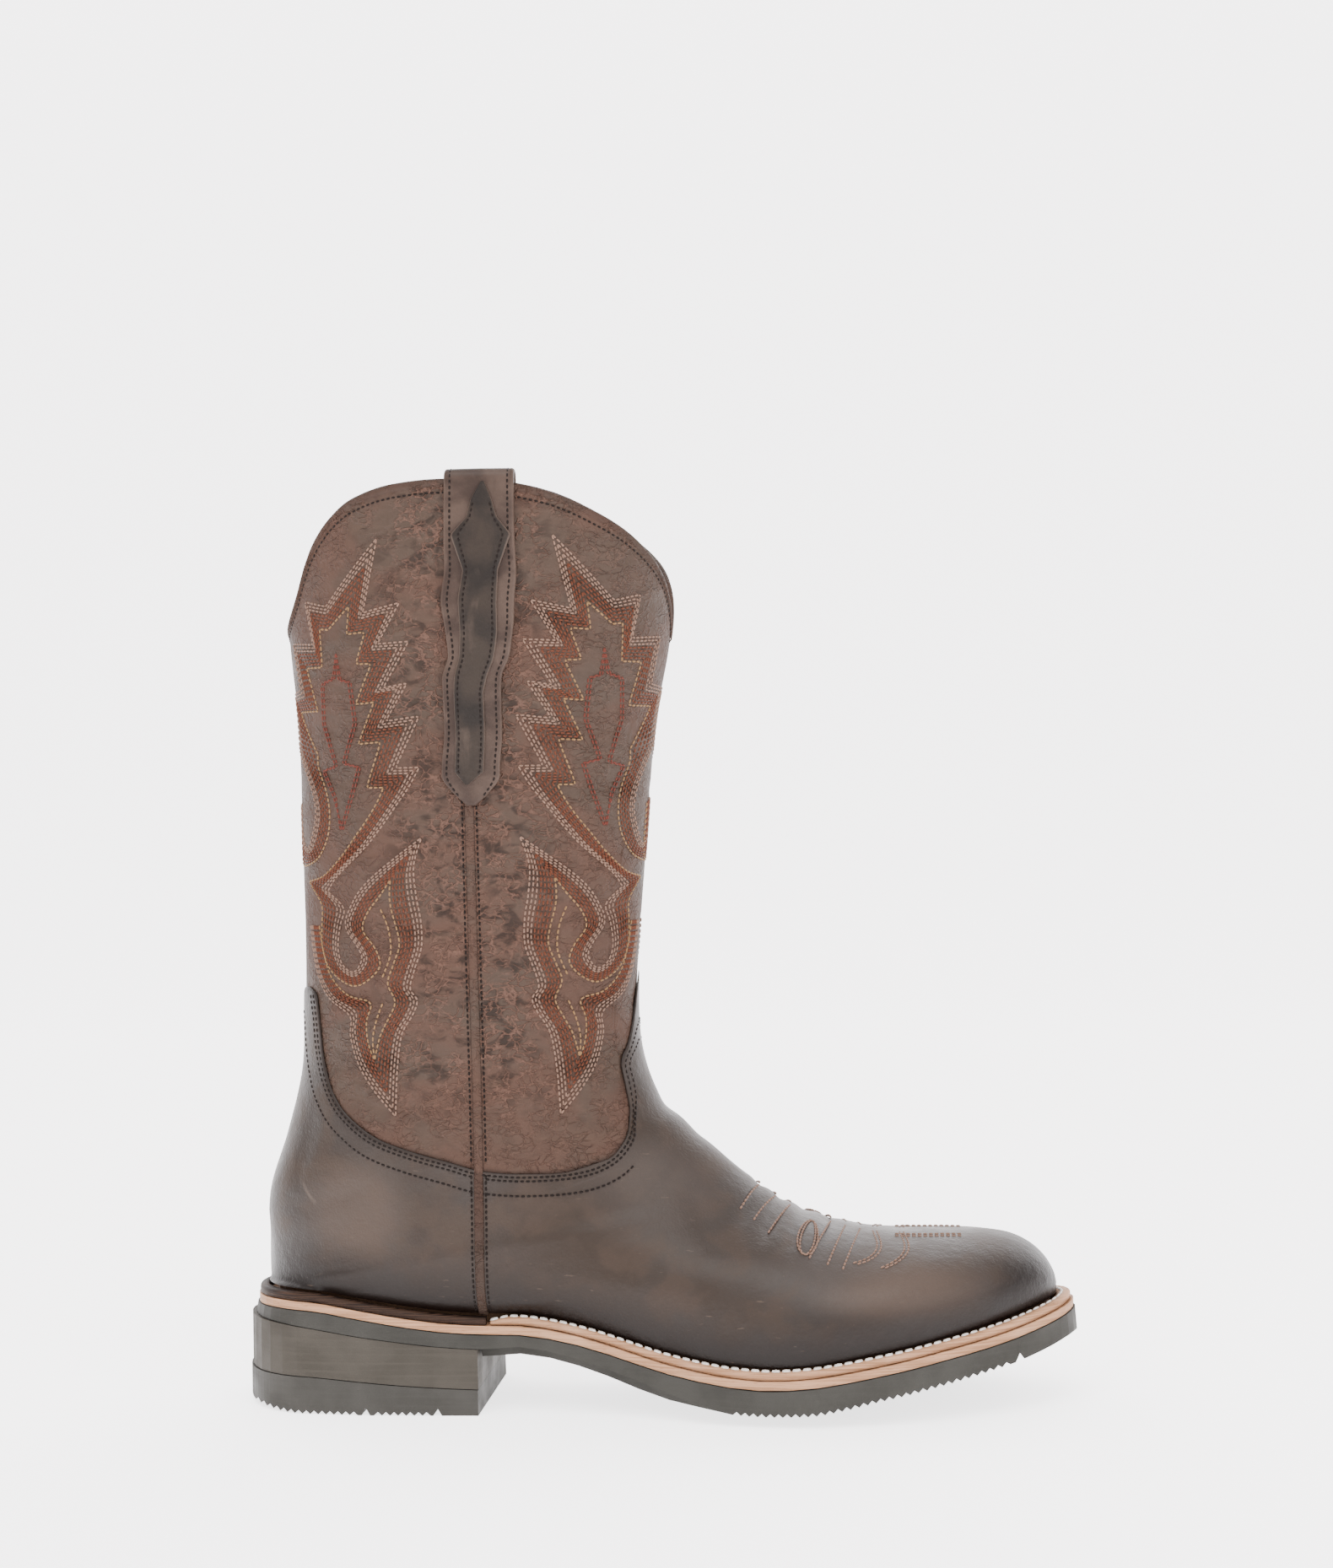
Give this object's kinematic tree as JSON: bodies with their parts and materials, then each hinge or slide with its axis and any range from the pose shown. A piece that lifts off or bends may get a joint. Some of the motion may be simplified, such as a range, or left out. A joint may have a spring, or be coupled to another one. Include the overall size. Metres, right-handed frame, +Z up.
{
  "type": "barn boot",
  "caption": "Right pull-on barn boot: leather shaft with scalloped collar and pull straps, stitched vamp and counter, leather welt, block heel and ribbed rubber sole.",
  "frame": {"origin": "middle of the footprint's outline box, on the floor that heel and forefoot stand on", "axes": "+X towards the toe, +Y towards the inner side of the foot, +Z up along the shaft"},
  "size_m": [0.3099, 0.11, 0.3429],
  "materials": {
    "shaft_leather": "distressed red-brown leather, half matt",
    "outsole_rubber": "matt grey rubber",
    "heel_rubber": "matt olive-grey rubber",
    "cap_rubber": "matt dark grey rubber",
    "tan_leather": "natural veg-tan leather edge",
    "rand_leather": "dark brown leather edge",
    "insole_leather": "smooth tan leather",
    "strap_leather": "brown leather, half matt",
    "motif_leather": "dark blue-grey leather, half matt"
  },
  "bodies": {
    "root": {"upper": "shaft_leather", "outsole": "outsole_rubber", "heel_block": "heel_rubber", "heel_cap": "cap_rubber", "midsole": "tan_leather", "welt": "tan_leather", "heel_rand": "rand_leather", "insole": "insole_leather", "pull_strap_outer": "strap_leather", "pull_strap_inner": "strap_leather", "strap_overlay_outer": "motif_leather", "strap_overlay_inner": "motif_leather"}
  },
  "joints": []
}
